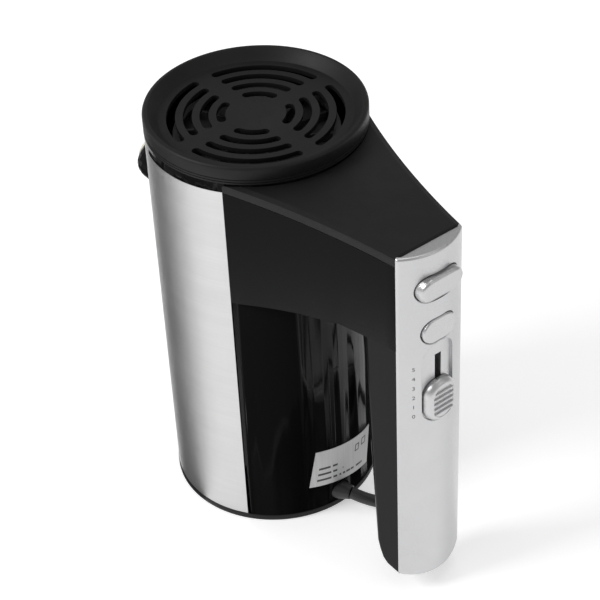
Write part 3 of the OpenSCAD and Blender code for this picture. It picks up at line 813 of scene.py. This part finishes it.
def coverOutline(inset):
    low, high = 15.0, 45.0
    for _ in range(40):
        x = (low + high) / 2
        if math.hypot(x, coverSide(x, inset)) < cover["housing"]:
            low = x
        else:
            high = x
    start = math.atan2(coverSide(x, inset), x)
    end = faceLow.x - inset * 0.3
    half = [(cover["housing"] * math.cos(a), -cover["housing"] * math.sin(a))
            for a in [start * (k + 0.5) / 24 for k in range(24)]]
    half += [(x + (end - x) * k / 24, -coverSide(x + (end - x) * k / 24, inset)) for k in range(25)]
    half.append((end, -coverSide(end, inset) * 0.5))
    return half + [(px, -py) for px, py in reversed(half)]


def makeCover():
    rings = []
    for drop, inset in cover["edge"]:
        ring = []
        for x, y in coverOutline(inset):
            part = (x - cover["back"]) / (cover["front"] - cover["back"])
            top = cover["tops"][0] + (cover["tops"][1] - cover["tops"][0]) * part
            ring.append((x, y, top - drop))
        rings.append(ring)
    made = skin("arm_cover", rings, 32)
    return dressed(made, "root", "black_satin", "arm_top_cover")


marks = {"side": -11.9, "low": 104.7, "step": 5.1, "count": 6, "size": 2.7, "proud": 0.03}


def makeMarks():
    mesh = bmesh.new()
    for number in range(marks["count"]):
        words = bpy.data.curves.new("digit", "FONT")
        words.body = str(number)
        words.size = marks["size"] * mm
        words.align_x = "CENTER"
        digit = bpy.data.objects.new("digit", words)
        bpy.context.scene.collection.objects.link(digit)
        flat = bpy.data.meshes.new_from_object(digit.evaluated_get(bpy.context.evaluated_depsgraph_get()))
        for point in flat.vertices:
            side = marks["side"] + point.co.x / mm
            up = marks["low"] + marks["step"] * number + point.co.y / mm
            point.co = Vector((crownX(side) + marks["proud"], side, up)) * mm
        mesh.from_mesh(flat)
        bpy.data.objects.remove(digit)
    data = bpy.data.meshes.new("speed_numbers")
    mesh.to_mesh(data)
    made = bpy.data.objects.new("speed_numbers", data)
    bpy.context.scene.collection.objects.link(made)
    return dressed(made, "root", "dark_moulding")


makeFace()
makeButtons()
makeKnob()
makeCover()
makeMarks()
lead.data.materials.append(finishes["cord_sheath"])
plugBody.data.materials.append(finishes["cord_sheath"])
print("outer pieces made")


# ---- floor and light
studio = {
    "world": 0.45,
    "floorGlow": 0.42,
    # name, place in metres, width in metres, watts
    "lamps": (
        ("key", (-0.5, -1.3, 1.2), 0.6, 16),
        ("fill", (1.4, 0.5, 1.1), 0.8, 1.5),
        ("top", (0, 0.2, 1.7), 0.9, 3),
    ),
}
# A grey card on the floor, seen only in reflections: the darker side of the steel wrap
shade = {
    "corners": ((5, -48.5), (-19, -45)),     # beside the housing, mm
    "from": -131,                            # direction of each straight edge, degrees
    "to": -189,
    "reach": 650,
    "tone": 0.13,
}


def outward(start, degrees):
    angle = math.radians(degrees)
    return (start[0] + shade["reach"] * math.cos(angle), start[1] + shade["reach"] * math.sin(angle))


def makeCard():
    first, last = shade["corners"]
    points = [first, outward(first, shade["from"])]
    for degrees in range(shade["from"] - 10, shade["to"], -10):
        points.append(outward((0, 0), degrees))
    points += [outward(last, shade["to"]), last]
    data = bpy.data.meshes.new("card")
    data.from_pydata([(x * mm, y * mm, 0.0006) for x, y in points], [], [tuple(range(len(points)))])
    card = bpy.data.objects.new("card", data)
    bpy.context.scene.collection.objects.link(card)
    data.materials.append(material("greyCard", lambda wire: {
        "Base Color": rgb(0.0), "Roughness": 1.0, "Emission Color": rgb(shade["tone"]),
        "Emission Strength": 1.0}))
    card.visible_camera = False
    card.visible_diffuse = False
    card.visible_shadow = False


def makeStage():
    room = bpy.context.scene
    mesh = bmesh.new()
    bmesh.ops.create_grid(mesh, x_segments=1, y_segments=1, size=4)
    data = bpy.data.meshes.new("floor")
    mesh.to_mesh(data)
    floor = bpy.data.objects.new("floor", data)
    room.collection.objects.link(floor)
    floor.location.z = -0.0002
    data.materials.append(material("paleFloor", lambda wire: {
        "Base Color": rgb(0.9), "Roughness": 0.7, "Emission Color": rgb(1),
        "Emission Strength": studio["floorGlow"]}))
    world = bpy.data.worlds.new("studio")
    room.world = world
    world.use_nodes = True
    world.node_tree.nodes["Background"].inputs[0].default_value = (1, 1, 1, 1)
    world.node_tree.nodes["Background"].inputs[1].default_value = studio["world"]
    for name, at, size, power in studio["lamps"]:
        lamp = bpy.data.lights.new(name, "AREA")
        lamp.size = size
        lamp.energy = power
        thing = bpy.data.objects.new(name, lamp)
        thing.location = at
        thing.rotation_euler = (Vector((0, 0, 0.1)) - Vector(at)).to_track_quat("-Z", "Y").to_euler()
        room.collection.objects.link(thing)
    room.view_settings.view_transform = "Standard"


makeCard()
makeStage()
print("stage set")

bpy.context.view_layer.update()
